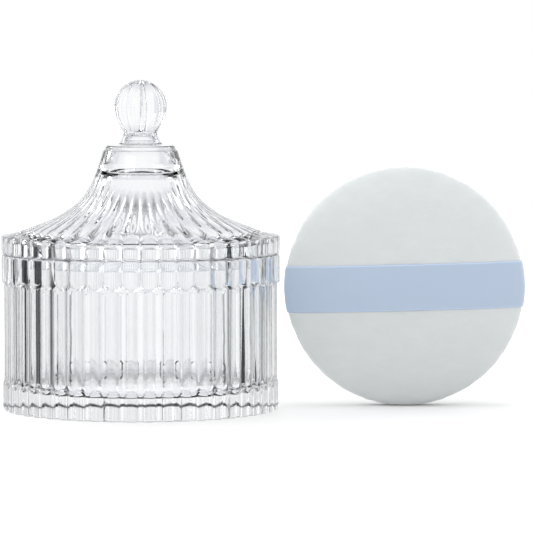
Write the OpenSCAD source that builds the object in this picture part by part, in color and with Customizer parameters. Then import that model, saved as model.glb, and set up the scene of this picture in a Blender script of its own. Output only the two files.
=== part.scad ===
// Powder jar: a ribbed pressed-glass bowl, its tent-shaped lid with a lobed ball knob, and the
// velour puff that is kept in it, standing on its rim beside the bowl.
// The origin is the centre of the bowl's foot, +Z is up and -Y is the front.

/* [Ribs] */
// Number of ribs round the bowl and the lid
rib_count = 48; // [32:2:50]
// Turn of the first rib's crest from the front
rib_turn = -1.8; // [-3.6:0.1:3.6]
// Roundness of a rib: how far its face bends from crest to groove
rib_bend = 60; // [30:1:75]

/* [Bowl] */
// Height of the bowl from foot to seat
bowl_h = 51.5; // [42:0.5:65]
// Radius of the wall, measured to the rib crests
wall_r = 45.3; // [38:0.1:60]
// Thickness of the wall at the rib crests
wall_t = 4; // [3.5:0.1:6.5]
// Thickness of the floor
floor_t = 7; // [4.5:0.5:10]
// Radius of the corner between floor and wall, inside
floor_corner_r = 4; // [1:0.5:8]
// Depth of the grooves in the wall
wall_groove = 1; // [0.4:0.1:1.5]
// Height of the band round the foot
base_band_h = 10.2; // [5:0.1:14]
// How far the band round the foot stands out from the wall
base_band_out = 0.4; // [0:0.1:1]
// Height of the band under the seat
top_band_h = 9.4; // [5:0.1:14]
// How far the band under the seat stands out from the wall
top_band_out = 0.9; // [0:0.1:1.5]
// Depth of the grooves in both bands
band_groove = 1.3; // [0.4:0.1:1.6]
// How far the rounded end of a band's rib reaches past its grooves
rib_end_reach = 1.4; // [0.5:0.1:2]
// Height of the slope between a band and the wall
band_slope_h = 0.8; // [0.5:0.1:2]
// Rounding of the outer edges at foot and seat
edge_r = 0.9; // [0.4:0.1:1.5]
// Width of the plain border round the foot, inside the grooves
foot_border = 1; // [0.5:0.5:4]

/* [Lid] */
// Height of the lid's upright rim
rim_h = 5.6; // [4:0.1:8]
// Depth of the grooves in the rim and roof
roof_groove = 1.3; // [0.4:0.1:1.6]
// Height of the roof from rim to collar
roof_h = 28.7; // [22:0.1:36]
// Radius of the collar's top edge
collar_r = 12.2; // [10.5:0.1:15]
// Slope of the roof above the rim
roof_rim_slope = 18; // [12:1:25]
// Slope of the roof below the collar
roof_collar_slope = 73; // [65:1:80]
// Length over which the roof keeps its slope above the rim
roof_rim_pull = 27.2; // [22:0.1:30]
// Length over which the roof keeps its slope below the collar
roof_collar_pull = 18.1; // [14:0.1:20]
// Thickness of the roof
roof_t = 3.6; // [2.8:0.1:4.5]
// Height of solid glass under the collar's top edge
collar_solid_h = 6.5; // [5:0.5:10]
// Depth of the spigot that centres the lid in the bowl
spigot_h = 4; // [2:0.5:7]
// Thickness of the spigot
spigot_t = 2.8; // [2:0.1:3.5]
// Sideways clearance between spigot and bowl
spigot_gap = 0.6; // [0.3:0.1:1.5]
// Gap under the lid's rim
seat_gap = 0.1; // [0.05:0.05:0.3]

/* [Knob] */
// Radius of the knob's ball
ball_r = 8.7; // [7:0.1:10]
// Stretch of the ball's lower half, down towards the neck
ball_stretch = 1.24; // [1:0.01:1.4]
// Number of lobes round the ball
lobe_count = 8; // [5:1:10]
// Depth of the grooves between lobes
lobe_groove = 0.6; // [0.2:0.1:1]
// Radius of the neck under the ball
neck_r = 5.6; // [4.5:0.1:6.2]
// Height of the neck from collar to ball
neck_h = 4.6; // [3.5:0.1:7]
// Height of the collar's rounded shoulder
shoulder_h = 1.5; // [1:0.1:2.5]

/* [Puff] */
// Radius of the puff
puff_r = 39.7; // [30:0.1:50]
// Thickness of the puff at its middle
puff_t = 19; // [14:0.5:26]
// Thickness of the velour covers
cover_t = 1.4; // [1.2:0.1:2.5]
// Height of the velour's pile, which holds the covers off the table
pile_h = 0.3; // [0.2:0.1:0.6]
// Squareness of the puff's section
puff_square = 3; // [2.4:0.1:4]
// Clearance between the puff and the bowl, seen from the front
puff_gap = 2; // [1:0.5:30]
// Distance of the puff's seam behind the bowl's axis
puff_y = 12; // [0:0.5:30]
// Diameter of the seam's thread
thread_d = 0.6; // [0.4:0.1:0.8]

/* [Ribbon] */
// Width of the satin ribbon
ribbon_w = 16; // [10:0.5:25]
// Thickness of the satin ribbon
ribbon_t = 0.4; // [0.3:0.1:0.6]
// Gap between ribbon and cover
ribbon_gap = 0.15; // [0.1:0.05:0.3]
// Tilt of the ribbon across the puff
ribbon_tilt = 1.4; // [-5:0.2:5]

/* [Hidden] */
$fn = 96;

front = -90;                    // the front, as an angle from +X
overlap = 1;                    // how far a cutting shape passes what it cuts
rib_places = [-1, -0.4, 0.4];   // corners across one rib, from a groove to the next
spigot_lead = 0.6;              // slope at the spigot's lower edge

inner_r = wall_r - wall_t;
rim_r = wall_r + top_band_out;
foot_r = wall_r + base_band_out;
lid_z = bowl_h + seat_gap;
rim_top_z = lid_z + rim_h;
collar_z = rim_top_z + roof_h;
neck_z = collar_z + shoulder_h;
ball_base_z = neck_z + neck_h;
ball_base_angle = -acos(neck_r / ball_r);
ball_z = ball_base_z - ball_r * ball_stretch * sin(ball_base_angle);
puff_x = rim_r + puff_gap + puff_r;
puff_z = pile_h + puff_r;

// Share of the groove's depth at a place across a rib: 0 at its crest and 1 in the groove.
function rib_drop(place) = (1 - cos(asin(abs(place) * sin(rib_bend)))) / (1 - cos(rib_bend));

// A station of the glass skin is [radius, height, slope of the outward normal, rib groove depth,
// how much higher the groove lies than the crest, lobe groove depth].
function plain(r, z, lobe_depth = 0) = [r, z, 0, 0, 0, lobe_depth];

// Place across the lobe at an angle: 0 at its crest and 1 or -1 in the groove.
function lobe_place(angle) =
    let (turns = (angle - front) * lobe_count / 360) 2 * (turns - floor(turns + 0.5));

function skin_point(station, angle, drop) =
    let (inward = station[3] * drop,
         r = station[0] - inward * cos(station[2]) - station[5] * rib_drop(lobe_place(angle)),
         z = station[1] - inward * sin(station[2]) + station[4] * drop)
    [r * cos(angle), r * sin(angle), z];

// A closed glass solid. Its skin runs through the stations, up or down, from the middle of its
// underside, round its outside and to the middle of its top.
module glass_solid(stations) {
    steps = len(rib_places);
    around = rib_count * steps;
    rows = len(stations);
    points = [for (s = stations) for (k = [0 : around - 1])
        let (place = rib_places[k % steps],
             angle = front + rib_turn + (floor(k / steps) + place / 2) * 360 / rib_count)
        skin_point(s, angle, rib_drop(place))];
    sides = [for (i = [0 : rows - 2]) for (k = [0 : around - 1])
        let (a = i * around + k, b = i * around + (k + 1) % around)
        each [[a, a + around, b], [b, a + around, b + around]]];
    first_cap = [for (k = [0 : around - 1]) k];
    last_cap = [for (k = [around - 1 : -1 : 0]) (rows - 1) * around + k];
    color("aliceblue", 0.4)
        polyhedron(points = points, faces = concat(sides, [first_cap, last_cap]), convexity = 10);
}

// Stations of an outer edge of radius r, rounded from the angle first to last.
function edge_stations(r, z, first, last, depth) =
    [for (i = [0 : 2]) let (a = first + (last - first) * i / 2)
        [r - edge_r + edge_r * cos(a), z + edge_r * sin(a), 0, depth, 0, 0]];

// ---- Bowl ----

function bowl_outside() =
    let (base_top = base_band_h - rib_end_reach, top_bottom = bowl_h - top_band_h)
    concat(
        edge_stations(foot_r, edge_r, -90, 0, band_groove),
        [[foot_r, base_top, 0, band_groove, -rib_end_reach, 0],
         [wall_r, base_top + band_slope_h, 0, wall_groove, -rib_end_reach, 0],
         [wall_r, top_bottom - band_slope_h, 0, wall_groove, rib_end_reach, 0],
         [rim_r, top_bottom + band_slope_h, 0, band_groove, rib_end_reach, 0]],
        edge_stations(rim_r, bowl_h - edge_r, 0, 90, band_groove));

function bowl_inside() = concat(
    [plain(inner_r, bowl_h)],
    [for (a = [0 : -30 : -90])
        plain(inner_r - floor_corner_r * (1 - cos(a)),
              floor_t + floor_corner_r * (1 + sin(a)))]);

module bowl() {
    foot = [plain(foot_r - edge_r - band_groove - foot_border, 0)];
    glass_solid(concat(foot, bowl_outside(), bowl_inside()));
}

// ---- Lid ----

// The roof's outline is a cubic Bezier from the rim (t = 0) to the collar (t = 1).
rim_corner = [rim_r - edge_r, rim_top_z];
collar_corner = [collar_r, collar_z];
rim_handle = rim_corner + roof_rim_pull * [-cos(roof_rim_slope), sin(roof_rim_slope)];
collar_handle = collar_corner
    + roof_collar_pull * [cos(roof_collar_slope), -sin(roof_collar_slope)];

function roof_point(t) =
    pow(1 - t, 3) * rim_corner + 3 * t * pow(1 - t, 2) * rim_handle
    + 3 * t * t * (1 - t) * collar_handle + pow(t, 3) * collar_corner;

// Slope of the roof's outward normal.
function roof_normal(t) =
    let (d = roof_point(t + 0.01) - roof_point(t - 0.01)) atan2(-d[0], d[1]);

// The ribs narrow with the roof and fade out below the collar.
roof_fade_t = 0.8;
function roof_depth(t) =
    roof_groove * roof_point(t)[0] / rim_r * (1 - pow(max(0, 2 * t / roof_fade_t - 1), 2));

function lid_outside() = concat(
    edge_stations(rim_r, lid_z + edge_r, -90, 0, roof_groove),
    [[rim_r, rim_top_z - edge_r, roof_rim_slope, roof_groove, 0, 0]],
    [for (i = [0 : 7]) let (t = roof_fade_t * i / 7, p = roof_point(t))
        [p[0], p[1], roof_normal(t), roof_depth(t), 0, 0]],
    [plain(roof_point(0.9)[0], roof_point(0.9)[1])]);

// The inside of the roof lies roof_t under its rib crests, and ends in a dome.
function roof_inside(t) =
    let (p = roof_point(t), a = roof_normal(t)) p - roof_t * [cos(a), sin(a)];

function lid_inside() =
    let (dome_z = collar_z - collar_solid_h,
         outer_r = inner_r - spigot_gap,
         bottom_z = lid_z - spigot_h,
         curve = [for (i = [5 : -1 : 1]) roof_inside(i / 6)],
         roof = [for (p = curve) if (p[0] < outer_r - spigot_t - 1 && p[1] < dome_z - 1) p],
         eave_z = roof[len(roof) - 1][1] - 1.5)
    concat(
        [plain(roof[0][0] - 4, dome_z), plain(roof[0][0] - 1.5, dome_z - 0.6)],
        [for (p = roof) plain(p[0], p[1])],
        [plain(outer_r - spigot_t, eave_z), plain(outer_r - spigot_t, bottom_z),
         plain(outer_r - spigot_lead, bottom_z), plain(outer_r, bottom_z + spigot_lead),
         plain(outer_r, lid_z)]);

// The collar's rounded shoulder, and the neck that flares down onto it.
function neck_outline() =
    let (shoulder_r = collar_r - shoulder_h, flare = neck_h * 0.6)
    concat(
        [for (a = [0 : 45 : 90])
            plain(shoulder_r + shoulder_h * cos(a), collar_z + shoulder_h * sin(a))],
        [for (a = [0 : 30 : 90])
            plain(neck_r + flare * (1 - sin(a)), neck_z + flare * (1 - cos(a)))]);

// The ball's outline runs up from the neck to its crown, at angles up from its equator.
function ball_outline() =
    [for (i = [0 : 9])
        let (a = ball_base_angle + (86 - ball_base_angle) * i / 9,
             stretch = a < 0 ? ball_stretch : 1)
        plain(ball_r * cos(a), ball_z + ball_r * sin(a) * stretch, lobe_groove * cos(a))];

module lid() {
    glass_solid(concat(lid_inside(), lid_outside(), neck_outline(), ball_outline()));
}

// ---- Puff ----

// Half of the puff's section, shrunk by inset: radius along x and thickness along y.
function puff_section(inset) =
    let (a = puff_r - inset, b = puff_t / 2 - inset, n = 2 / puff_square)
    [for (u = [-90 : 7.5 : 90])
        [a * pow(cos(u), n), sign(u) * b * pow(abs(sin(u)), n)]];

// The puff's whole shape, shrunk by inset on all sides.
module puff_shape(inset) {
    translate([0, 0, puff_z]) rotate([90, 0, 0])
        rotate_extrude() polygon(puff_section(inset));
}

// The half of the space in front of the seam (side = -1) or behind it (side = 1).
module puff_half(side) {
    span = 3 * puff_r;
    translate([-span / 2, side < 0 ? -span : 0, -overlap]) cube(span);
}

// A ring just inside the seam.
module seam_ring(thread_r) {
    translate([0, 0, puff_z]) rotate([90, 0, 0])
        rotate_extrude() translate([puff_r - cover_t + thread_d / 2, 0])
        circle(r = thread_r, $fn = 24);
}

// A straight tilted bar across the puff, width high, between two distances from the seam.
module ribbon_bar(width, y_from, y_to) {
    translate([0, 0, puff_z]) rotate([0, -ribbon_tilt, 0])
        translate([-1.5 * puff_r, y_from, -width / 2])
        cube([3 * puff_r, y_to - y_from, width]);
}

// A tab at each end of the ribbon is caught in the seam, and stops before the thread.
module ribbon_tabs(clearance) {
    tab_reach = cover_t - thread_d - ribbon_gap;
    intersection() {
        difference() {
            puff_shape(-ribbon_gap - ribbon_t);
            puff_shape(tab_reach + clearance);
        }
        ribbon_bar(ribbon_w + 2 * clearance, -ribbon_gap - ribbon_t - clearance,
                   clearance - ribbon_gap);
    }
}

module puff_cover(side) {
    translate([puff_x, puff_y, 0]) difference() {
        intersection() {
            puff_shape(0);
            puff_half(side);
        }
        puff_shape(cover_t);
        seam_ring(thread_d / 2 + 0.1);
        if (side < 0) ribbon_tabs(ribbon_gap);
    }
}

module puff_front_cover() {
    color("white") puff_cover(-1);
}

module puff_back_cover() {
    color("white") puff_cover(1);
}

module puff_filling() {
    color("ivory") translate([puff_x, puff_y, 0]) puff_shape(cover_t);
}

module puff_ribbon() {
    color("lightsteelblue") translate([puff_x, puff_y, 0]) {
        intersection() {
            difference() {
                puff_shape(-ribbon_gap - ribbon_t);
                puff_shape(-ribbon_gap);
            }
            ribbon_bar(ribbon_w, -puff_t, -ribbon_gap);
        }
        ribbon_tabs(0);
    }
}

module puff_seam_thread() {
    color("white") translate([puff_x, puff_y, 0]) seam_ring(thread_d / 2);
}

bowl();
lid();
puff_front_cover();
puff_back_cover();
puff_filling();
puff_ribbon();
puff_seam_thread();
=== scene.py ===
import math

import bpy
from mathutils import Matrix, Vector, noise
from mathutils.bvhtree import BVHTree


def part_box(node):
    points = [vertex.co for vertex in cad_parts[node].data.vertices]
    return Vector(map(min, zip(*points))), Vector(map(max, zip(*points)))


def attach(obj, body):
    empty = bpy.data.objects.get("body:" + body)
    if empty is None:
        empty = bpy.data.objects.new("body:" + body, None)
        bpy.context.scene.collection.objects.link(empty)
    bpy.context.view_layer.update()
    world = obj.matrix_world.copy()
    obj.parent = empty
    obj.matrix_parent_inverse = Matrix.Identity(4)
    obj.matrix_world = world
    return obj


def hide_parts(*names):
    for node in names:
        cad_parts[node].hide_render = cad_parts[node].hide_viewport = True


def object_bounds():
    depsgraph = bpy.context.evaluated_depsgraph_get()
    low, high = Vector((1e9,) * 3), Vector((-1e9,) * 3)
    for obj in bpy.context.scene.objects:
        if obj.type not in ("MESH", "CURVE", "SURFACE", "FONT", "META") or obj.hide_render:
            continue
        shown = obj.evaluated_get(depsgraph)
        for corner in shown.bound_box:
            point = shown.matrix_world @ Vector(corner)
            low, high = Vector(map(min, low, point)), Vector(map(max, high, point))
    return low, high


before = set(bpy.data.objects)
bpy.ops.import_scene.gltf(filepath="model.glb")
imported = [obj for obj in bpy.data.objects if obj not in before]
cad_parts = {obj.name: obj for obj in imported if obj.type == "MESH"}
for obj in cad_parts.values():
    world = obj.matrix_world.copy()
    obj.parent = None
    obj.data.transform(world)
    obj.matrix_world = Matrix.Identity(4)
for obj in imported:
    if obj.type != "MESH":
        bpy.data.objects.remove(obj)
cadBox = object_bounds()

mm = 0.001
print("frame loaded:", ", ".join(sorted(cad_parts)))

# sizes of the glass come from the frame, shapes from the dictionaries below
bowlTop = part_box("bowl")[1].z
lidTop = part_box("lid")[1].z
puffLow = Vector(map(min, *(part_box(n)[0] for n in ("puff_front_cover", "puff_back_cover"))))
puffHigh = Vector(map(max, *(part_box(n)[1] for n in ("puff_front_cover", "puff_back_cover"))))

ribs = {
    "count": 48,             # round bowl and lid
    "turn": math.radians(-1.8),      # first crest, from the front
    "steps": 16,             # faces across one rib of the bowl
    "lidSteps": 12,          # fewer, because the lid has more rings
}
front = -math.pi / 2


def linear(hexColour):
    # sRGB hex to the linear values the sockets want
    parts = [int(hexColour[i:i + 2], 16) / 255 for i in (1, 3, 5)]
    return tuple(c / 12.92 if c <= 0.04045 else ((c + 0.055) / 1.055) ** 2.4
                 for c in parts) + (1.0,)


def node(tree, kind, links=None, **settings):
    # settings go by socket name or attribute, links by socket name
    made = tree.nodes.new(kind)
    for key, value in settings.items():
        name = key.replace("_", " ")
        if name in made.inputs:
            made.inputs[name].default_value = value
        elif key in made.inputs:
            made.inputs[key].default_value = value
        else:
            setattr(made, key, value)
    for name, source in (links or {}).items():
        tree.links.new(source, made.inputs[name])
    return made


def newMaterial(name):
    material = bpy.data.materials.new(name)
    material.use_nodes = True
    return material, material.node_tree, material.node_tree.nodes["Principled BSDF"]


def deselectAll():
    if bpy.context.object and bpy.context.object.mode != "OBJECT":
        bpy.ops.object.mode_set(mode="OBJECT")
    bpy.ops.object.select_all(action="DESELECT")


def dropOutline(name, points):
    # one corner of a plane, merged to a point and extruded along the outline (radius, height)
    deselectAll()
    bpy.ops.mesh.primitive_plane_add(size=0.001)
    piece = bpy.context.object
    piece.name = name
    bpy.ops.object.mode_set(mode="EDIT")
    bpy.ops.mesh.select_all(action="SELECT")
    bpy.ops.mesh.merge(type="CENTER")
    last = Vector((0, -points[0][0], points[0][1]))
    bpy.ops.transform.translate(value=last)
    for r, z in points[1:]:
        place = Vector((0, -r, z))
        bpy.ops.mesh.extrude_region_move(TRANSFORM_OT_translate={"value": place - last})
        last = place
    return piece


def spinOutline(piece, steps):
    bpy.ops.mesh.select_all(action="SELECT")
    bpy.ops.mesh.spin(steps=steps, angle=2 * math.pi, center=(0, 0, 0), axis=(0, 0, 1))
    bpy.ops.mesh.select_all(action="SELECT")
    bpy.ops.mesh.remove_doubles(threshold=0.00001)
    bpy.ops.mesh.normals_make_consistent(inside=False)
    bpy.ops.object.mode_set(mode="OBJECT")


def arc(cx, cz, radius, first, last, steps):
    # points of an arc, angles in degrees from +radius towards +height
    return [(cx + radius * math.cos(math.radians(first + (last - first) * i / steps)),
             cz + radius * math.sin(math.radians(first + (last - first) * i / steps)))
            for i in range(steps + 1)]


def smooth(t):
    t = min(1.0, max(0.0, t))
    return t * t * (3 - 2 * t)


def ribDrop(place, share, bend):
    # how far the skin lies under the crest: 0 at the crest, 1 in the groove or the flat gap
    t = abs(place) / share
    if t >= 1:
        return 1.0
    rise = math.cos(math.asin(t * math.sin(bend)))
    return (1 - rise) / (1 - math.cos(bend))


def tipDrop(place, share):
    # the rounded end of a rib, 0 at its middle and 1 beside it
    t = min(1.0, abs(place) / share)
    return 1 - math.sqrt(1 - t * t)


def ribPlace(angle):
    turns = (angle - front - ribs["turn"]) * ribs["count"] / (2 * math.pi)
    return 2 * (turns - math.floor(turns + 0.5))


class Row:
    # one ring of a glass skin, given at the rib crests; cuts are (depth, share, bend)
    def __init__(self, r, z, slope=0.0, cuts=(), reach=0.0, tipShare=1.0, lobe=0.0):
        self.r, self.z, self.slope, self.cuts = r, z, slope, cuts
        self.reach, self.tipShare, self.lobe = reach, tipShare, lobe


def pressSkin(piece, rows, lobes=None):
    # the plunger's part: every ring is pushed in between the crests
    byPlace = {(round(row.r * 1e6), round(row.z * 1e6)): row for row in rows}
    for v in piece.data.vertices:
        r = math.hypot(v.co.x, v.co.y)
        row = byPlace.get((round(r * 1e6), round(v.co.z * 1e6)))
        if row is None:
            near = [k for k in byPlace
                    if abs(k[0] - r * 1e6) < 3 and abs(k[1] - v.co.z * 1e6) < 3]
            if not near:
                continue
            row = byPlace[near[0]]
        angle = math.atan2(v.co.y, v.co.x)
        place = ribPlace(angle)
        inward = sum(depth * ribDrop(place, share, bend) for depth, share, bend in row.cuts)
        newR = r - inward * math.cos(row.slope)
        newZ = v.co.z - inward * math.sin(row.slope) + row.reach * tipDrop(place, row.tipShare)
        if row.lobe:
            turns = (angle - front - lobes["turn"]) * lobes["count"] / (2 * math.pi)
            across = 2 * (turns - math.floor(turns + 0.5))
            newR -= row.lobe * ribDrop(across, 1.0, lobes["bend"])
        v.co.x, v.co.y, v.co.z = newR * math.cos(angle), newR * math.sin(angle), newZ


def finishGlass(piece, body, nodeName):
    piece.data.name = piece.name
    deselectAll()
    piece.select_set(True)
    bpy.context.view_layer.objects.active = piece
    bpy.ops.object.shade_smooth_by_angle(angle=glassLook["sharp"])
    piece.data.materials.clear()
    piece.data.materials.append(glass)
    # clear glass hardly dims the light that falls through it
    piece.visible_shadow = False
    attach(piece, body)
    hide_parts(nodeName)


glassLook = {
    "tint": "#FDFEFF",       # hardly any iron in it
    "ior": 1.52,
    "waveSize": 9 * mm,      # of the slow wave that the mould leaves
    "waveH": 0.12 * mm,
    "waveStrength": 0.25,
    "sharp": math.radians(60),       # edges sharper than this stay crisp
}


def pressedGlass(name):
    # soda-lime glass, fire polished after pressing: clear and smooth, but never quite flat
    material, tree, shader = newMaterial(name)
    shader.inputs["Base Color"].default_value = linear(glassLook["tint"])
    shader.inputs["Transmission Weight"].default_value = 1.0
    shader.inputs["IOR"].default_value = glassLook["ior"]
    shader.inputs["Roughness"].default_value = 0.0
    place = node(tree, "ShaderNodeTexCoord")
    wave = node(tree, "ShaderNodeTexNoise", {"Vector": place.outputs["Object"]},
                Scale=1 / glassLook["waveSize"], Detail=1.0)
    bump = node(tree, "ShaderNodeBump", {"Height": wave.outputs["Fac"]},
                Strength=glassLook["waveStrength"], Distance=glassLook["waveH"])
    tree.links.new(bump.outputs["Normal"], shader.inputs["Normal"])
    return material


glass = pressedGlass("pressed soda-lime glass")


bowlShape = {
    "wallR": 45.3 * mm,      # at the rib crests
    "wallT": 4.0 * mm,
    "floorT": 7.0 * mm,
    "floorCorner": 4.0 * mm,
    "wallRib": (1.0 * mm, 0.56, math.radians(72)),       # depth, share of the pitch, roundness
    "bandRib": (1.3 * mm, 1.0, math.radians(62)),
    "baseRib": (1.3 * mm, 0.7, math.radians(70)),
    "bandOut": 0.9 * mm,     # upper band beyond the wall
    "baseOut": 0.4 * mm,
    "bandH": 9.4 * mm,
    "baseH": 10.2 * mm,
    "tipReach": 1.5 * mm,
    "jointReach": 0.45 * mm,  # the ribs are rounded where bowl and lid meet
    "stepH": 1.1 * mm,       # height of the slope between band and wall
    "baseEase": 2.6 * mm,    # below the slope, where the base's ribs begin to change
    "wallFrom": 1.5 * mm,    # above the base, where the wall's ribs are whole
    "wallTo": 0.6 * mm,      # below the slope, where they end
    "bandFrom": 3.2 * mm,    # above the wall, where the band's ribs are whole
    "edge": 0.9 * mm,
    "lip": 0.5 * mm,         # rounding of the mouth
    "footBorder": 4 * mm,    # from the outside of the foot to its flat face
    "floorRing": 20 * mm,
    "turns": 8,              # rings in each change of section
}


def makeBowl():
    s = bowlShape
    top = bowlTop
    rimR = s["wallR"] + s["bandOut"]
    footR = s["wallR"] + s["baseOut"]
    e = s["edge"]
    bandBottom = top - s["bandH"]
    baseTop = s["baseH"]
    wall, band, base = s["wallRib"], s["bandRib"], s["baseRib"]
    rows = []

    def mixRows(r0, r1, z0, z1, cut0, cut1, reach, tipShare, steps):
        # from one band's section to the next along an S curve
        for i in range(steps + 1):
            t = i / steps
            w = smooth(t)
            cuts = ((cut0[0] * (1 - w), cut0[1], cut0[2]), (cut1[0] * w, cut1[1], cut1[2]))
            rows.append(Row(r0 + (r1 - r0) * w, z0 + (z1 - z0) * t, 0.0, cuts, reach,
                            tipShare))

    for r, z in arc(footR - e, e, e, -90, 0, 6):
        rows.append(Row(r, z, 0.0, (base,)))
    rows.append(Row(footR, baseTop - s["stepH"] - s["baseEase"], 0.0, (base,)))
    mixRows(footR, s["wallR"], baseTop - s["stepH"], baseTop, base, wall, -s["tipReach"],
            base[1], s["turns"])
    rows.append(Row(s["wallR"], baseTop + s["wallFrom"], 0.0, (wall,)))
    rows.append(Row(s["wallR"], bandBottom - s["stepH"] - s["wallTo"], 0.0, (wall,)))
    mixRows(s["wallR"], rimR, bandBottom - s["stepH"] / 2, bandBottom + s["stepH"] / 2,
            wall, band, s["tipReach"], 1.0, s["turns"])
    rows.append(Row(rimR, bandBottom + s["bandFrom"], 0.0, (band,)))
    for i, (r, z) in enumerate(arc(rimR - e, top - e, e, 0, 90, 6)):
        rows.append(Row(r, z, 0.0, (band,), -s["jointReach"] * min(1.0, i / 3)))

    innerR = s["wallR"] - s["wallT"]
    lip = s["lip"]
    corner = s["floorCorner"]
    # it stands on its whole ground face
    outline = [(0, 0), (footR - s["footBorder"], 0)] + [(row.r, row.z) for row in rows]
    outline += arc(innerR + lip, top - lip, lip, 90, 180, 4)
    outline += arc(innerR - corner, s["floorT"] + corner, corner, 0, -90, 10)
    outline += [(s["floorRing"], s["floorT"]), (0, s["floorT"])]
    piece = dropOutline("glass_bowl", outline)
    spinOutline(piece, ribs["count"] * ribs["steps"])
    pressSkin(piece, rows)
    finishGlass(piece, "bowl", "bowl")


lidShape = {
    "rimR": 46.2 * mm,
    "rimH": 5.6 * mm,
    "edge": 0.8 * mm,
    "rib": (1.3 * mm, 1.0, math.radians(58)),
    "collarR": 12.2 * mm,
    "roofH": 28.7 * mm,
    "rimSlope": math.radians(18),
    "collarSlope": math.radians(73),
    "rimPull": 27.2 * mm,
    "collarPull": 18.1 * mm,
    "roofT": 3.6 * mm,
    "domeUnder": 6.5 * mm,   # solid glass under the collar's edge
    "spigotOuterR": 40.7 * mm,
    "spigotT": 2.8 * mm,
    "spigotH": 4.0 * mm,
    "shoulderH": 1.5 * mm,
    "neckR": 5.6 * mm,
    "neckH": 4.6 * mm,
    "ballR": 8.7 * mm,
    "ballStretch": 1.24,
    "lobes": {"count": 8, "turn": math.radians(-9), "bend": math.radians(75)},
    "lobeDepth": 1.05 * mm,
    "seam": 0.1 * mm,        # gap between rim and bowl
    "jointReach": 0.45 * mm,
    "rimTurn": 60,           # degrees that the rim's top edge is rounded
    "fadeFrom": 0.5,         # along the roof, where the ribs begin to run out
    "fadeTo": 0.86,          # and where the smooth collar begins
    "roofRings": 26,
    "insideRings": 13,
    "lead": 0.5 * mm,        # rounding at the end of the spigot
    "throat": 2 * mm,        # fillet from the roof's inside to the spigot
    "ledge": 0.45 * mm,
    "beadR": 0.42 * mm,      # ring where the ball sits on its neck
    "ballRings": 26,
}


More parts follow.
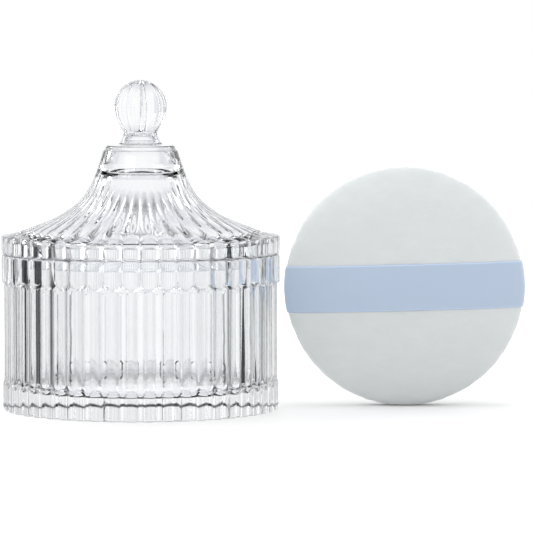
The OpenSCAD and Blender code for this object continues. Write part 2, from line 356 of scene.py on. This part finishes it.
def makeLid():
    s = lidShape
    low = bowlTop + s["seam"]
    rimTop = low + s["rimH"]
    collarZ = rimTop + s["roofH"]
    rib = s["rib"]
    e = s["edge"]
    start = Vector((s["rimR"] - e, rimTop))
    end = Vector((s["collarR"], collarZ))
    rimWay = Vector((-math.cos(s["rimSlope"]), math.sin(s["rimSlope"])))
    collarWay = Vector((math.cos(s["collarSlope"]), -math.sin(s["collarSlope"])))
    handles = [start, start + s["rimPull"] * rimWay, end + s["collarPull"] * collarWay, end]

    def roof(t):
        # the curve from the rim to the collar
        weights = ((1 - t) ** 3, 3 * t * (1 - t) ** 2, 3 * t * t * (1 - t), t ** 3)
        return sum((w * h for w, h in zip(weights, handles)), Vector((0, 0)))

    def roofNormal(t):
        d = roof(t + 0.01) - roof(t - 0.01)
        return math.atan2(-d.x, d.y)

    def ribDepth(t):
        gone = smooth((t - s["fadeFrom"]) / (s["fadeTo"] - s["fadeFrom"]))
        return rib[0] * roof(t).x / s["rimR"] * (1 - gone)

    rows = []
    for i, (r, z) in enumerate(arc(s["rimR"] - e, low + e, e, -90, 0, 6)):
        rows.append(Row(r, z, 0.0, (rib,), s["jointReach"] * min(1.0, (6 - i) / 3)))
    for i, (r, z) in enumerate(arc(s["rimR"] - e, rimTop - 0.1 * mm, e, 0, s["rimTurn"], 5)):
        rows.append(Row(r, z, math.radians(s["rimTurn"]) * i / 5, (rib,)))
    for i in range(1, s["roofRings"] + 1):
        t = s["fadeTo"] * i / s["roofRings"] + 0.012
        p = roof(t)
        rows.append(Row(p.x, p.y, roofNormal(t), ((ribDepth(t), rib[1], rib[2]),)))

    dome = collarZ - s["domeUnder"]
    inside = []
    for i in range(s["insideRings"] - 1, 0, -1):
        p, a = roof(i / s["insideRings"]), roofNormal(i / s["insideRings"])
        q = p - s["roofT"] * Vector((math.cos(a), math.sin(a)))
        if q.x < s["spigotOuterR"] - s["spigotT"] - 1 * mm and q.y < dome - 1 * mm:
            inside.append((q.x, q.y))
    topR = inside[0][0]
    spigotInner = s["spigotOuterR"] - s["spigotT"]
    spigotLow = low - s["spigotH"]
    lead, throat, bead = s["lead"], s["throat"], s["beadR"]
    outline = [(0, dome), (topR * 0.4, dome - 0.1 * mm), (topR * 0.7, dome - 0.5 * mm),
               (topR * 0.9, dome - 1.3 * mm)]
    outline += inside
    outline += arc(spigotInner - throat, inside[-1][1] - 1.3 * throat, throat, 60, 0, 4)
    outline += arc(spigotInner + lead, spigotLow + lead, lead, 180, 270, 3)
    outline += arc(s["spigotOuterR"] - lead, spigotLow + lead, lead, -90, 0, 3)
    outline += [(s["spigotOuterR"], low)]
    outline += [(row.r, row.z) for row in rows]

    # smooth collar, a small ledge, rounded shoulder, flared neck with its bead, and the ball
    for t in (0.9, 0.95, 0.99):
        outline.append((roof(t).x, roof(t).y))
    outline += [(s["collarR"] - 0.1 * mm, collarZ - 0.12 * mm),
                (s["collarR"] - 0.3 * mm, collarZ)]
    shoulderR = s["collarR"] - s["shoulderH"] - s["ledge"]
    outline += arc(shoulderR, collarZ + 0.1 * mm, s["shoulderH"], 0, 90, 6)
    neckZ = collarZ + s["shoulderH"] + 0.1 * mm
    outline += [(9.0 * mm, neckZ + 0.03 * mm)]
    outline += arc(s["neckR"] + 2.6 * mm, neckZ + 1.9 * mm, 1.8 * mm, 265, 205, 6)
    ballLow = collarZ + s["shoulderH"] + s["neckH"]
    outline += [(6.35 * mm, neckZ + 1.45 * mm), (6.2 * mm, neckZ + 1.75 * mm),
                (5.85 * mm, ballLow - 1.75 * mm)]
    outline += arc(s["neckR"] - 0.35 * mm, ballLow - 1.1 * mm, bead, -50, 60, 5)

    squeeze = -math.acos(s["neckR"] / s["ballR"])
    ballZ = ballLow - s["ballR"] * s["ballStretch"] * math.sin(squeeze)
    ballTop = lidTop - ballZ
    ballRows = []
    for i in range(s["ballRings"]):
        a = squeeze + (math.radians(88) - squeeze) * i / (s["ballRings"] - 1)
        tall = s["ballR"] * s["ballStretch"] if a < 0 else ballTop
        ballRows.append(Row(s["ballR"] * math.cos(a), ballZ + tall * math.sin(a),
                            lobe=s["lobeDepth"] * math.cos(a) ** 0.8))
    outline += [(row.r, row.z) for row in ballRows]
    outline += [(0, lidTop)]
    piece = dropOutline("glass_lid", outline)
    spinOutline(piece, ribs["count"] * ribs["lidSteps"])
    pressSkin(piece, rows + ballRows, s["lobes"])
    finishGlass(piece, "lid", "lid")


makeBowl()
print("bowl pressed")
makeLid()
print("lid pressed")


puff = {
    "squareness": 3.0,       # of the section through the pad
    "slack": 0.7 * mm,       # the cover before it is filled, smaller all round
    "voxel": 4 * mm,
    "cap": 1.6 * mm,         # how far the cloth may move as it fills
    "pressure": 4.0,
    "pileH": 0.3 * mm,
    "seamDepth": 0.9 * mm,
    "seamWidth": 1.6 * mm,
    "lumpSize": 14 * mm,
    "lumpH": 0.3 * mm,
    "softFoot": 0.6 * mm,
    "sectors": 90,           # the rim is trued up in this many directions
    "halfRings": 28,
    "spinSteps": 120,
    "sewnWidth": 2.2 * mm,   # cloth held by the seam, to each side of it
    "clothMass": 0.2,
    "clothFrames": 20,
    "relaxSteps": 3,
}
puffMid = (puffLow + puffHigh) / 2
puffR = (puffHigh.x - puffLow.x) / 2
puffT = puffHigh.y - puffLow.y
puffZ = puffHigh.z - puffR


velour = {
    "pressed": "#BDC1C2",    # painted shade: the darker pile colour, in patches
    # painted sheen: the lighter pile colour, in patches
    "upright": "#C4C8C9",
    "tuft": 0.9 * mm,
    "shadeAndSheenPatch": 7 * mm,          # size of the patches of painted shade and sheen
    "rows": 2.2,             # closer together upwards, as the knitted rows are
    "pileH": 0.25 * mm,
}


def velourCloth():
    # cotton velour: a short upright pile that scatters light, lying in faint rows
    material, tree, shader = newMaterial("white cotton velour")
    place = node(tree, "ShaderNodeTexCoord")
    turned = node(tree, "ShaderNodeMapping", {"Vector": place.outputs["Object"]},
                  Scale=(1.0, 1.0, velour["rows"]))
    pile = node(tree, "ShaderNodeTexNoise", {"Vector": turned.outputs["Vector"]},
                Scale=1 / velour["tuft"], Detail=3.0, Roughness=0.6)
    shadeAndSheen = node(tree, "ShaderNodeTexNoise", {"Vector": turned.outputs["Vector"]},
               Scale=1 / velour["shadeAndSheenPatch"], Detail=2.0)
    # painted shade and sheen: noise mixes a darker and a lighter pile colour in patches
    mix = node(tree, "ShaderNodeMix", {"Factor": shadeAndSheen.outputs["Fac"]}, data_type="RGBA")
    mix.inputs[6].default_value = linear(velour["pressed"])
    mix.inputs[7].default_value = linear(velour["upright"])
    tree.links.new(mix.outputs[2], shader.inputs["Base Color"])
    shader.inputs["Roughness"].default_value = 0.95
    shader.inputs["Sheen Weight"].default_value = 1.0
    shader.inputs["Sheen Roughness"].default_value = 0.5
    shader.inputs["Specular IOR Level"].default_value = 0.15
    bump = node(tree, "ShaderNodeBump", {"Height": pile.outputs["Fac"]}, Strength=0.5,
                Distance=velour["pileH"])
    tree.links.new(bump.outputs["Normal"], shader.inputs["Normal"])
    return material


def fillPuff(piece):
    # the filling presses the cover out; the sewn rim holds it
    sewn = [v.co.copy() for v in piece.data.vertices]
    seam = piece.vertex_groups.new(name="sewn rim")
    seam.add([i for i, p in enumerate(sewn) if abs(p.y - puffMid.y) < puff["sewnWidth"]],
             1.0, "REPLACE")
    cloth = piece.modifiers.new("filling", "CLOTH")
    cloth.settings.quality = 6
    cloth.settings.mass = puff["clothMass"]
    cloth.settings.use_pressure = True
    cloth.settings.uniform_pressure_force = puff["pressure"]
    cloth.settings.vertex_group_mass = seam.name
    cloth.settings.effector_weights.gravity = 0
    scene = bpy.context.scene
    for step in range(1, puff["clothFrames"] + 1):
        scene.frame_set(step)
    bpy.ops.object.modifier_apply(modifier="filling")
    scene.frame_set(1)
    for v, start in zip(piece.data.vertices, sewn):
        step = v.co - start
        if step.length > puff["cap"]:
            v.co = start + step * (puff["cap"] / step.length)
    piece.vertex_groups.clear()


def trueRim(piece):
    # the cover was cut round, so the rim reaches equally far in every direction
    sectors = puff["sectors"]
    reach = [0.0] * sectors
    for v in piece.data.vertices:
        x, z = v.co.x - puffMid.x, v.co.z - puffZ
        sector = int((math.atan2(z, x) / (2 * math.pi) + 0.5) * sectors) % sectors
        reach[sector] = max(reach[sector], math.hypot(x, z))
    for v in piece.data.vertices:
        x, z = v.co.x - puffMid.x, v.co.z - puffZ
        turns = (math.atan2(z, x) / (2 * math.pi) + 0.5) * sectors - 0.5
        low = math.floor(turns)
        share = turns - low
        edge = reach[low % sectors] * (1 - share) + reach[(low + 1) % sectors] * share
        weight = smooth(math.hypot(x, z) / edge * 2 - 1)
        grow = 1 + ((puffR + puff["pileH"]) / edge - 1) * weight
        v.co.x, v.co.z = puffMid.x + x * grow, puffZ + z * grow


def makePuff():
    outline = []
    power = 2 / puff["squareness"]
    for i in range(puff["halfRings"] + 1):
        a = math.pi / 2 * i / puff["halfRings"]
        outline.append(((puffR - puff["slack"]) * math.sin(a) ** power,
                        -(puffT / 2 - puff["slack"]) * max(0.0, math.cos(a)) ** power))
    outline += [(r, -z) for r, z in reversed(outline[:-1])]
    piece = dropOutline("puff_pad", outline)
    spinOutline(piece, puff["spinSteps"])
    deselectAll()
    piece.select_set(True)
    bpy.context.view_layer.objects.active = piece
    bpy.ops.object.mode_set(mode="EDIT")
    bpy.ops.mesh.select_all(action="SELECT")
    # stand it on its rim, facing the front
    bpy.ops.transform.rotate(value=math.pi / 2, orient_axis="X", center_override=(0, 0, 0))
    bpy.ops.transform.translate(value=(puffMid.x, puffMid.y, puffZ))
    bpy.ops.mesh.normals_make_consistent(inside=False)
    bpy.ops.object.mode_set(mode="OBJECT")
    remesh = piece.modifiers.new("grid", "REMESH")
    remesh.mode = "VOXEL"
    remesh.voxel_size = puff["voxel"]
    bpy.ops.object.modifier_apply(modifier="grid")
    fillPuff(piece)
    relax = piece.modifiers.new("relax", "SMOOTH")
    relax.iterations = puff["relaxSteps"]
    relax.factor = 0.5
    bpy.ops.object.modifier_apply(modifier="relax")
    fine = piece.modifiers.new("fine", "SUBSURF")
    fine.levels = fine.render_levels = 2
    bpy.ops.object.modifier_apply(modifier="fine")
    # the filled cover has the size it was sewn for
    wide = max(math.hypot(v.co.x - puffMid.x, v.co.z - puffZ) for v in piece.data.vertices)
    deep = max(abs(v.co.y - puffMid.y) for v in piece.data.vertices)
    bpy.ops.object.mode_set(mode="EDIT")
    bpy.ops.mesh.select_all(action="SELECT")
    bpy.ops.transform.resize(value=(puffR / wide, puffT / 2 / deep, puffR / wide),
                             center_override=(puffMid.x, puffMid.y, puffZ))
    bpy.ops.object.mode_set(mode="OBJECT")
    # the seam draws the rim in a little
    for v in piece.data.vertices:
        p = v.co
        out = Vector((p.x - puffMid.x, 0, p.z - puffZ))
        if out.length > puffR * 0.85:
            pull = puff["seamDepth"] * math.exp(-((p.y - puffMid.y) / puff["seamWidth"]) ** 2)
            out *= 1 - pull / puffR
            p.x, p.z = puffMid.x + out.x, puffZ + out.z
    trueRim(piece)
    for v in piece.data.vertices:
        p = v.co
        out = Vector((p.x - puffMid.x, 0, p.z - puffZ))
        # the stuffing is never quite even
        side = -1 if p.y < puffMid.y else 1
        lumps = noise.noise(p / puff["lumpSize"]) * puff["lumpH"]
        p.y += side * lumps * (1 - smooth(out.length / puffR * 1.3 - 0.3))
        low = p.z - puff["softFoot"]
        if low < 0:      # flattened where it stands
            p.z = max(0.0, puff["softFoot"] + low * (1 + low / (4 * puff["softFoot"])))
    for v in piece.data.vertices:
        v.co.z = max(0.0, v.co.z)
    deselectAll()
    piece.select_set(True)
    bpy.context.view_layer.objects.active = piece
    bpy.ops.object.shade_smooth()
    piece.data.materials.clear()
    piece.data.materials.append(velourCloth())
    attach(piece, "puff")
    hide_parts("puff_front_cover", "puff_back_cover", "puff_filling",
                "puff_seam_thread")
    return piece


pad = makePuff()
print("puff filled")

ribbon = {
    "width": 16 * mm,
    "lift": 0.15 * mm,       # above the pile
    "thickness": 0.25 * mm,
    "tilt": math.radians(1.4),
    "along": 150,
    "across": 20,
    "selvedge": 0.7 * mm,
    "selvedgeEnd": 0.25 * mm,        # where the painted highlight on the selvedge is full
    "colour": "#A0AFC2",
    # painted highlight: the selvedges are drawn lighter than the ribbon
    "selvedgeHighlight": "#B4C6E2",
    "thread": 6 * mm,        # length of a streak, far coarser than a real thread
    "threadsAcross": 14.0,   # streaks are this much narrower than long
    "ends": 0.004,           # share of the way round that stays inside each seam
    "tautSteps": 6,
}


def satinRibbon():
    # polyester satin: long floats along the ribbon give a soft streaked gloss
    material, tree, shader = newMaterial("blue polyester satin")
    uv = node(tree, "ShaderNodeUVMap", uv_map="ribbonLength")
    split = node(tree, "ShaderNodeSeparateXYZ", {"Vector": uv.outputs["UV"]})
    edge = node(tree, "ShaderNodeMath", {"Value": split.outputs["Y"]}, operation="SUBTRACT")
    edge.inputs[1].default_value = ribbon["width"] / 2
    far = node(tree, "ShaderNodeMath", {"Value": edge.outputs[0]}, operation="ABSOLUTE")
    ramp = node(tree, "ShaderNodeMapRange", {"Value": far.outputs[0]})
    ramp.inputs["From Min"].default_value = ribbon["width"] / 2 - ribbon["selvedge"]
    ramp.inputs["From Max"].default_value = ribbon["width"] / 2 - ribbon["selvedgeEnd"]
    # painted highlight along both selvedges
    mix = node(tree, "ShaderNodeMix", {"Factor": ramp.outputs["Result"]}, data_type="RGBA")
    mix.inputs[6].default_value = linear(ribbon["colour"])
    mix.inputs[7].default_value = linear(ribbon["selvedgeHighlight"])
    tree.links.new(mix.outputs[2], shader.inputs["Base Color"])
    threads = node(tree, "ShaderNodeMapping", {"Vector": uv.outputs["UV"]},
                   Scale=(1.0, ribbon["threadsAcross"], 1.0))
    weave = node(tree, "ShaderNodeTexNoise", {"Vector": threads.outputs["Vector"]},
                 Scale=1 / ribbon["thread"], Detail=4.0, Roughness=0.7)
    bump = node(tree, "ShaderNodeBump", {"Height": weave.outputs["Fac"]}, Strength=0.12,
                Distance=0.1 * mm)
    tree.links.new(bump.outputs["Normal"], shader.inputs["Normal"])
    shader.inputs["Roughness"].default_value = 0.42
    shader.inputs["Sheen Weight"].default_value = 0.3
    shader.inputs["Specular IOR Level"].default_value = 0.5
    return material


def makeRibbon():
    # drawn tight over the face, from the seam on the left to the seam on the right
    steps, rows = ribbon["along"], ribbon["across"]
    skin = BVHTree.FromObject(pad, bpy.context.evaluated_depsgraph_get())
    n = 2 / puff["squareness"]
    slope = math.tan(ribbon["tilt"])

    def onPad(u, w):
        a = math.pi * (ribbon["ends"] + (1 - 2 * ribbon["ends"]) * u)
        c, d = math.cos(a), math.sin(a)
        across = (w - 0.5) * ribbon["width"]
        r = -math.copysign(abs(c) ** n, c) * puffR
        z = across + r * slope
        reach = math.sqrt(max(0.0, 1 - (z / puffR) ** 2))
        centre = Vector((puffMid.x, puffMid.y, puffZ + z))
        way = Vector((r * reach, -abs(d) ** n * puffT / 2, 0)).normalized()
        hit = skin.ray_cast(centre + way * 0.1, -way)[0]
        return hit, way

    deselectAll()
    bpy.ops.mesh.primitive_grid_add(x_subdivisions=steps, y_subdivisions=rows, size=1.0)
    piece = bpy.context.object
    piece.name = "puff_ribbon_satin"
    piece.data.name = piece.name
    flatPlaces = [(v.co.x + 0.5, v.co.y + 0.5) for v in piece.data.vertices]
    for v, (u, w) in zip(piece.data.vertices, flatPlaces):
        v.co = onPad(u, w)[0]
    # tight cloth bridges the small hollows under it
    deselectAll()
    piece.select_set(True)
    bpy.context.view_layer.objects.active = piece
    taut = piece.modifiers.new("taut", "SMOOTH")
    taut.iterations = ribbon["tautSteps"]
    bpy.ops.object.modifier_apply(modifier="taut")
    for v, (u, w) in zip(piece.data.vertices, flatPlaces):
        hit, way = onPad(u, w)
        v.co = v.co + way * (ribbon["lift"] + max(0.0, (hit - v.co).dot(way)))
    middleRow = sorted((u, v.co.copy()) for v, (u, w) in zip(piece.data.vertices, flatPlaces)
                       if abs(w - 0.5) < 0.26 / rows)
    walked = {}
    length = 0.0
    for i, (u, p) in enumerate(middleRow):
        if i:
            length += (p - middleRow[i - 1][1]).length
        walked[round(u, 5)] = length
    uv = piece.data.uv_layers.active or piece.data.uv_layers.new()
    uv.name = "ribbonLength"
    for loop in piece.data.loops:
        u, w = flatPlaces[loop.vertex_index]
        uv.data[loop.index].uv = (walked[round(u, 5)], w * ribbon["width"])
    bpy.ops.object.shade_smooth()
    thick = piece.modifiers.new("cloth thickness", "SOLIDIFY")
    thick.thickness = ribbon["thickness"]
    thick.offset = 1.0
    bpy.ops.object.modifier_apply(modifier="cloth thickness")
    piece.data.materials.clear()
    piece.data.materials.append(satinRibbon())
    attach(piece, "puff")
    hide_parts("puff_ribbon")


makeRibbon()
print("ribbon sewn on")


studio = {
    "floorR": 1.5,           # m, the white table top
    "floorColour": "#E2E2E2",
    "floorGlow": 0.6,        # lit from below, away from the middle
    "glowFrom": 0.07,
    "glowTo": 0.3,
    "sweep": 1.0,
    # dark cards round the set, as (degrees from straight behind, half width, brightness)
    "cards": [(31, 6, 0.85), (67.5, 10, 0.02), (112.5, 11, 0.05), (150, 8, 0.6)],
    "cardSoft": 3,           # degrees over which a card's edge fades
    "cardColour": "#6E7180",
    "ceiling": "#E4E5EA",
    "ceilingFrom": 0.4,      # height on the sphere of directions, 1 straight up or down
    "ceilingTo": 0.75,
    # name, place, size, power
    "lamps": [("key softbox", (-0.5, -0.85, 0.55), (0.5, 0.5), 2.5),
              ("left rim light", (-0.8, 0.7, 0.5), (0.25, 0.9), 2.2),
              ("right rim light", (0.9, 0.7, 0.5), (0.25, 0.9), 2.2)],
    # beside and over the puff, for its round edge, kept out of the glass
    "wraps": [("left wrap", (-0.75, puffMid.y, 0.2), (0.4, 0.4), 2.2),
              ("right wrap", (1.6, puffMid.y, 0.3), (0.4, 0.4), 2.2),
              ("top wrap", (puffMid.x, puffMid.y, 1.0), (0.4, 0.4), 2.2)],
    "camera": (41.7 * mm, -1.14, 115.6 * mm),
    "cameraAim": (41.7 * mm, 0, 47.2 * mm),
    "lens": 232.6,
}


def makeFloor():
    deselectAll()
    bpy.ops.mesh.primitive_circle_add(radius=studio["floorR"], vertices=96, fill_type="NGON")
    floor = bpy.context.object
    floor.name = "floor"
    material, tree, shader = newMaterial("white acrylic table")
    shader.inputs["Base Color"].default_value = linear(studio["floorColour"])
    shader.inputs["Roughness"].default_value = 0.6
    shader.inputs["Emission Color"].default_value = (1, 1, 1, 1)
    place = node(tree, "ShaderNodeTexCoord")
    away = node(tree, "ShaderNodeVectorMath", {"Vector": place.outputs["Object"]},
                operation="DISTANCE")
    away.inputs[1].default_value = (middle.x, middle.y, 0)
    glow = node(tree, "ShaderNodeMapRange", {"Value": away.outputs["Value"]},
                From_Min=studio["glowFrom"], From_Max=studio["glowTo"],
                To_Max=studio["floorGlow"])
    tree.links.new(glow.outputs["Result"], shader.inputs["Emission Strength"])
    floor.data.materials.append(material)
    # the glass refracts the cards round the set, as it would on a clear table
    floor.visible_transmission = False
    floor.visible_glossy = False


def makeSweep():
    # white all round, with dark cards between the lamps that draw the edges of the glass
    world = bpy.data.worlds.new("studio")
    bpy.context.scene.world = world
    world.use_nodes = True
    tree = world.node_tree
    out = tree.nodes["World Output"]
    place = node(tree, "ShaderNodeTexCoord")
    split = node(tree, "ShaderNodeSeparateXYZ", {"Vector": place.outputs["Generated"]})
    around = node(tree, "ShaderNodeMath", operation="ARCTAN2")
    tree.links.new(split.outputs["X"], around.inputs[0])
    tree.links.new(split.outputs["Y"], around.inputs[1])
    side = node(tree, "ShaderNodeMath", {"Value": around.outputs[0]}, operation="ABSOLUTE")
    share = node(tree, "ShaderNodeMath", {"Value": side.outputs[0]}, operation="DIVIDE")
    share.inputs[1].default_value = math.pi
    ramp = node(tree, "ShaderNodeValToRGB", {"Fac": share.outputs[0]})
    ramp.color_ramp.interpolation = "EASE"
    ramp.color_ramp.elements[0].color = (1, 1, 1, 1)
    ramp.color_ramp.elements[1].color = (1, 1, 1, 1)
    tint = linear(studio["cardColour"])
    soft = studio["cardSoft"]
    for angle, half, level in studio["cards"]:
        for offset, dark in ((-half - soft, 0), (soft - half, 1), (half - soft, 1),
                             (half + soft, 0)):
            stop = ramp.color_ramp.elements.new((angle + offset) / 180)
            grey = [level * (1 + (c / max(tint[:3]) - 1) * (1 - level)) for c in tint[:3]]
            stop.color = (*grey, 1) if dark else (1, 1, 1, 1)
    steep = node(tree, "ShaderNodeMath", {"Value": split.outputs["Z"]}, operation="ABSOLUTE")
    up = node(tree, "ShaderNodeMapRange", {"Value": steep.outputs[0]})
    up.inputs["From Min"].default_value = studio["ceilingFrom"]
    up.inputs["From Max"].default_value = studio["ceilingTo"]
    top = node(tree, "ShaderNodeMix", {"Factor": up.outputs["Result"]}, data_type="RGBA")
    tree.links.new(ramp.outputs["Color"], top.inputs[6])
    top.inputs[7].default_value = linear(studio["ceiling"])
    # only what is seen in or through clear glass meets the cards
    seen = node(tree, "ShaderNodeLightPath")
    sight = node(tree, "ShaderNodeMix", {"Factor": seen.outputs["Is Singular Ray"]},
                 data_type="RGBA")
    sight.inputs[6].default_value = (1, 1, 1, 1)
    tree.links.new(top.outputs[2], sight.inputs[7])
    light = tree.nodes["Background"]
    tree.links.new(sight.outputs[2], light.inputs["Color"])
    light.inputs["Strength"].default_value = studio["sweep"]
    tree.links.new(light.outputs["Background"], out.inputs["Surface"])


def facing(place, target):
    return (Vector(target) - Vector(place)).to_track_quat("-Z", "Y").to_euler()


def addArea(name, place, target, size, power):
    lamp = bpy.data.lights.new(name, "AREA")
    lamp.shape = "RECTANGLE"
    lamp.size, lamp.size_y = size
    lamp.energy = power
    holder = bpy.data.objects.new(name, lamp)
    holder.location = place
    holder.rotation_euler = facing(place, target)
    bpy.context.scene.collection.objects.link(holder)
    return holder


middle = (cadBox[0] + cadBox[1]) / 2
makeFloor()
makeSweep()
for name, place, size, power in studio["lamps"]:
    addArea(name, place, middle, size, power)
for name, place, size, power in studio["wraps"]:
    wrap = addArea(name, place, (puffMid.x, puffMid.y, puffZ), size, power)
    wrap.visible_glossy = wrap.visible_transmission = False

camera = bpy.data.cameras.new("camera")
camera.sensor_width = 36
camera.lens = studio["lens"]
camera.clip_end = 20
eye = bpy.data.objects.new("camera", camera)
eye.location = studio["camera"]
eye.rotation_euler = facing(studio["camera"], studio["cameraAim"])
bpy.context.scene.collection.objects.link(eye)
bpy.context.scene.camera = eye
bpy.context.scene.view_settings.view_transform = "Standard"

print("studio lit")
